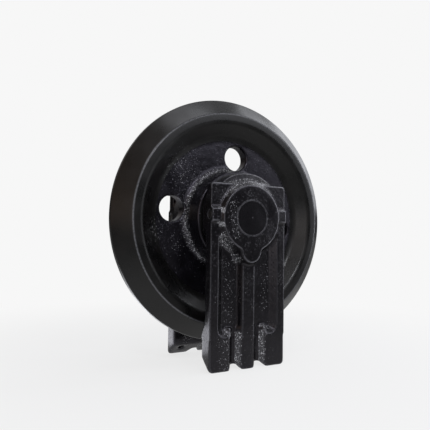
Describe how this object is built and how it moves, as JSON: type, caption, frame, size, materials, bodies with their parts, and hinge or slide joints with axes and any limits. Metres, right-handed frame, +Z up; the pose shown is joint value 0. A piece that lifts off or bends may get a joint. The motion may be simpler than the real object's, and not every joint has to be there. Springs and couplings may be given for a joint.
{
  "type": "excavator front idler",
  "caption": "Front idler of an excavator track: V-rimmed wheel with pierced web on a cross-pinned shaft, sealed for oil, between ribbed forged guide brackets.",
  "frame": {"origin": "on the floor under the middle of the wheel, level with the lower ends of the brackets", "axes": "+Z up along the brackets, +Y along the wheel's axis from the near bracket to the far one, +X across"},
  "size_m": [0.35, 0.146, 0.378],
  "materials": {
    "wheel_paint": "satin black paint over a casting, smooth on the machined rim and rough on the web",
    "bracket_paint": "satin black paint over a rough forging",
    "shaft_paint": "black paint over turned steel",
    "bush_bronze": "turned bronze",
    "seal_steel": "ground steel with lapped faces",
    "seal_rubber": "moulded black nitrile rubber",
    "pin_steel": "drawn steel",
    "washer_copper": "annealed copper"
  },
  "bodies": {
    "frame": {"idler_shaft": "shaft_paint", "bracket_near": "bracket_paint", "seal_ring_bracket_near": "seal_steel", "toric_ring_bracket_near": "seal_rubber", "thrust_washer_near": "bush_bronze", "shaft_o_ring_near": "seal_rubber", "lock_pin_near": "pin_steel", "bracket_far": "bracket_paint", "seal_ring_bracket_far": "seal_steel", "toric_ring_bracket_far": "seal_rubber", "thrust_washer_far": "bush_bronze", "shaft_o_ring_far": "seal_rubber", "lock_pin_far": "pin_steel", "oil_plug": "pin_steel", "oil_plug_washer": "washer_copper"},
    "wheel": {"idler_wheel": "wheel_paint", "hub_bush_near": "bush_bronze", "hub_bush_far": "bush_bronze", "seal_ring_wheel_near": "seal_steel", "seal_ring_wheel_far": "seal_steel", "toric_ring_wheel_near": "seal_rubber", "toric_ring_wheel_far": "seal_rubber"}
  },
  "joints": [
    {"name": "wheel_spin", "type": "hinge", "parent": "frame", "child": "wheel", "pos_m": [0, 0, 0.203], "axis": [0, 1, 0], "continuous": true}
  ]
}
